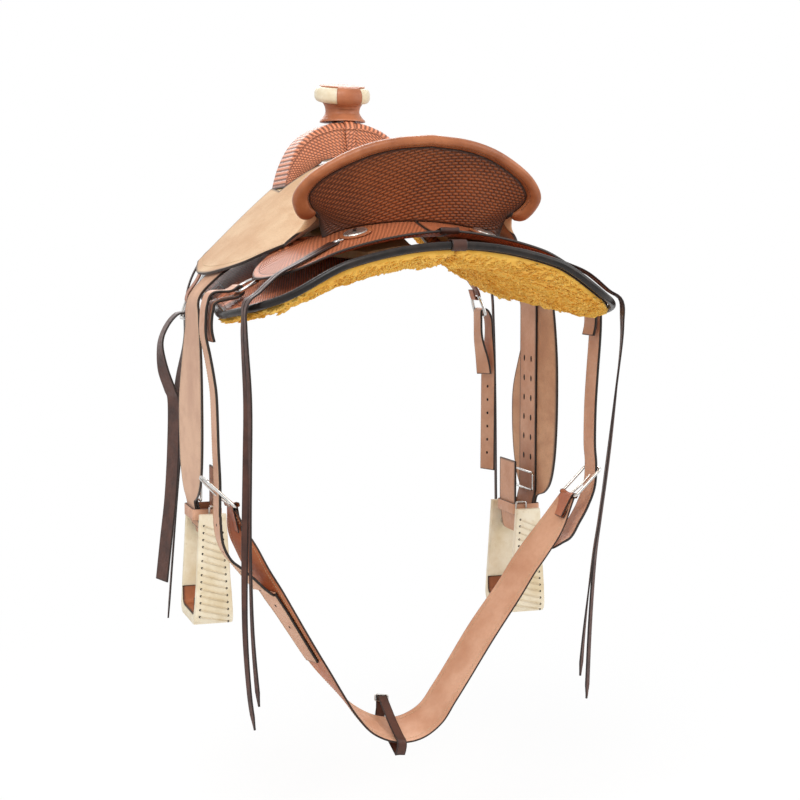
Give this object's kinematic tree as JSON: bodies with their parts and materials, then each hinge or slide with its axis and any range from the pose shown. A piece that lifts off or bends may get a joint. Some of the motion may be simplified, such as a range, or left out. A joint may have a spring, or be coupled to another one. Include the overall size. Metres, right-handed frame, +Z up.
{
  "type": "wade saddle",
  "caption": "Slick-fork stock saddle with post horn, high cantle, fleece-lined skirts, fenders, open stirrups and a flank cinch.",
  "frame": {"origin": "middle plane, at the height of the horse's back where the skirts cross it behind the cantle", "axes": "+Y forwards to the horse's head, +X to its off (right) side, +Z up"},
  "size_m": [0.6902, 0.7279, 1.1407],
  "materials": {
    "tree_wood": "matte",
    "rawhide": "semi-gloss",
    "skirting_leather": "satin",
    "stamped_leather": "satin",
    "roughout_leather": "suede",
    "billet_leather": "satin",
    "black_binding": "gloss",
    "dark_string_leather": "satin",
    "fleece": "woolly",
    "stainless_steel": "polished"
  },
  "bodies": {
    "saddle": {"tree_bar_left": "tree_wood", "tree_bar_right": "tree_wood", "fork_block": "tree_wood", "cantle_board": "tree_wood", "horn_cap": "rawhide", "skirt_left": "skirting_leather", "skirt_right": "skirting_leather", "horn_wrap": "skirting_leather", "cantle_roll": "skirting_leather", "ground_seat": "skirting_leather", "front_rig_strap_left": "skirting_leather", "front_rig_strap_right": "skirting_leather", "rear_rig_strap_left": "skirting_leather", "rear_rig_strap_right": "skirting_leather", "fork_cover": "stamped_leather", "cantle_back": "stamped_leather", "rear_jockey_left": "stamped_leather", "rear_jockey_right": "stamped_leather", "seat_leather": "roughout_leather", "skirt_binding_left": "black_binding", "skirt_binding_right": "black_binding", "rear_string_left": "dark_string_leather", "rear_string_right": "dark_string_leather", "front_string_left": "dark_string_leather", "front_string_right": "dark_string_leather", "jockey_connector": "dark_string_leather", "skirt_connector": "dark_string_leather", "fleece_left": "fleece", "fleece_right": "fleece", "horn_post": "stainless_steel", "rear_concho_left": "stainless_steel", "rear_concho_right": "stainless_steel", "front_concho_left": "stainless_steel", "front_concho_right": "stainless_steel", "front_dee_left": "stainless_steel", "front_dee_right": "stainless_steel", "rear_dee_left": "stainless_steel", "rear_dee_right": "stainless_steel"},
    "fender_left": {"stirrup_leather_left": "billet_leather", "fender_left": "roughout_leather", "hobble_strap_left": "billet_leather", "hobble_buckle_left": "stainless_steel"},
    "fender_right": {"stirrup_leather_right": "billet_leather", "fender_right": "roughout_leather", "hobble_strap_right": "billet_leather", "hobble_buckle_right": "stainless_steel"},
    "stirrup_left": {"stirrup_left": "rawhide", "stirrup_bolt_left": "stainless_steel", "tread_leather_left": "skirting_leather"},
    "stirrup_right": {"stirrup_right": "rawhide", "stirrup_bolt_right": "stainless_steel", "tread_leather_right": "skirting_leather"},
    "flank": {"flank_cinch": "billet_leather", "cinch_connector": "dark_string_leather", "flank_billet_left": "billet_leather", "flank_billet_right": "billet_leather", "flank_buckle_left": "stainless_steel", "flank_buckle_right": "stainless_steel"},
    "latigo": {"latigo": "dark_string_leather"},
    "off_billet": {"off_billet": "billet_leather"}
  },
  "joints": [
    {"name": "leather_swing_left", "type": "hinge", "parent": "saddle", "child": "fender_left", "pos_m": [-0.064, 0.1275, 0.14], "axis": [1, 0, 0], "range_deg": [-2, 3]},
    {"name": "leather_swing_right", "type": "hinge", "parent": "saddle", "child": "fender_right", "pos_m": [0.064, 0.1275, 0.14], "axis": [1, 0, 0], "range_deg": [-2, 3]},
    {"name": "stirrup_turn_left", "type": "hinge", "parent": "fender_left", "child": "stirrup_left", "pos_m": [-0.289, 0.13, -0.458], "axis": [0, 1, 0], "range_deg": [-20, 20]},
    {"name": "stirrup_turn_right", "type": "hinge", "parent": "fender_right", "child": "stirrup_right", "pos_m": [0.289, 0.13, -0.477], "axis": [0, 1, 0], "range_deg": [-20, 20]},
    {"name": "flank_swing", "type": "hinge", "parent": "saddle", "child": "flank", "pos_m": [0, -0.11, -0.03613], "axis": [1, 0, 0], "range_deg": [-3, 1]},
    {"name": "latigo_swing", "type": "hinge", "parent": "saddle", "child": "latigo", "pos_m": [-0.29, 0.315, -0.095], "axis": [1, 0, 0], "range_deg": [0, 15]},
    {"name": "off_billet_swing", "type": "hinge", "parent": "saddle", "child": "off_billet", "pos_m": [0.29, 0.315, -0.095], "axis": [1, 0, 0], "range_deg": [0, 15]}
  ]
}
